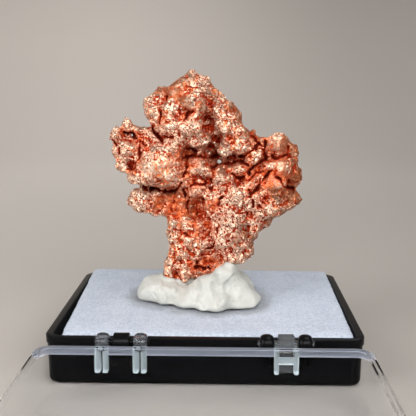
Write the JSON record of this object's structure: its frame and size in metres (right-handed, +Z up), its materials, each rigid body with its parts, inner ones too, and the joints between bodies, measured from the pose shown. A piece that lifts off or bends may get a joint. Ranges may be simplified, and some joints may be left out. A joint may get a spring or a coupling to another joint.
{
  "type": "native copper specimen in a hinged box",
  "caption": "Branching lumpy native copper standing in white putty on a foam pad, in a small black hinged box whose clear lid lies open.",
  "frame": {"origin": "centre of the tray's flat underside", "axes": "+Z up; +X along the hinge, to the viewer's right; the hinge and the open lid are on the -Y side"},
  "size_m": [0.083, 0.1361, 0.0808],
  "materials": {
    "black_plastic": "glossy",
    "clear_plastic": "clear, polished",
    "white_foam": "open-cell foam, matte",
    "white_putty": "matte mounting putty",
    "copper": "bright cleaned native copper, rough with crystal faces"
  },
  "bodies": {
    "box": {"tray": "black_plastic", "foam_pad": "white_foam", "putty": "white_putty", "native_copper": "copper"},
    "lid": {"lid": "clear_plastic"}
  },
  "joints": [
    {"name": "lid_hinge", "type": "hinge", "parent": "box", "child": "lid", "pos_m": [0, -0.03475, 0.013], "axis": [-1, 0, 0], "range_deg": [0, 105]}
  ]
}
